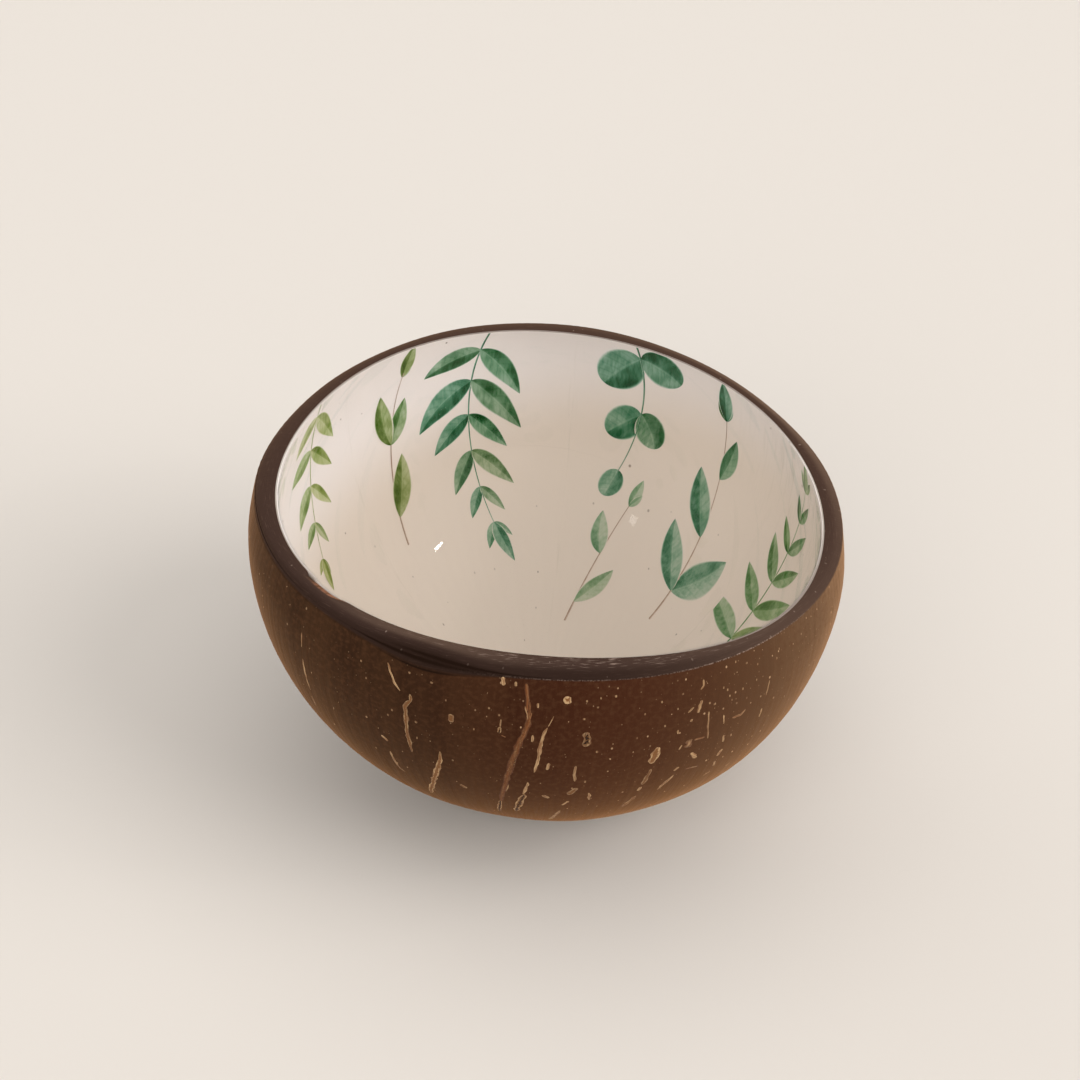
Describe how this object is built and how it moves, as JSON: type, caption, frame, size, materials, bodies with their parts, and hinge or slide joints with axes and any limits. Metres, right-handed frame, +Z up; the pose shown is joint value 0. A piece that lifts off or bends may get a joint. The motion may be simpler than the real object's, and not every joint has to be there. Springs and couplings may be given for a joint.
{
  "type": "coconut shell bowl",
  "caption": "Deep bowl made from half a coconut shell, sanded flat at the foot and round at the rim, lined inside with white lacquer, printed tissue and clear gloss.",
  "frame": {"origin": "middle of the sanded foot, on the table", "axes": "+Z up out of the mouth, +X to the right and +Y to the back as the picture shows the bowl"},
  "size_m": [0.1323, 0.1318, 0.074],
  "materials": {
    "shell": "dark brown coconut shell, sanded and varnished to a satin sheen",
    "white_lacquer": "glossy warm white lacquer",
    "tissue": "thin cream tissue printed with green leaf sprigs, soaked in varnish",
    "clear_gloss": "clear coat with a wet gloss"
  },
  "bodies": {
    "root": {"coconut_shell": "shell", "white_base_coat": "white_lacquer", "tissue_base_disc": "tissue", "tissue_gore_1": "tissue", "tissue_gore_2": "tissue", "tissue_gore_3": "tissue", "tissue_gore_4": "tissue", "tissue_gore_5": "tissue", "tissue_gore_6": "tissue", "clear_gloss_coat": "clear_gloss"}
  },
  "joints": []
}
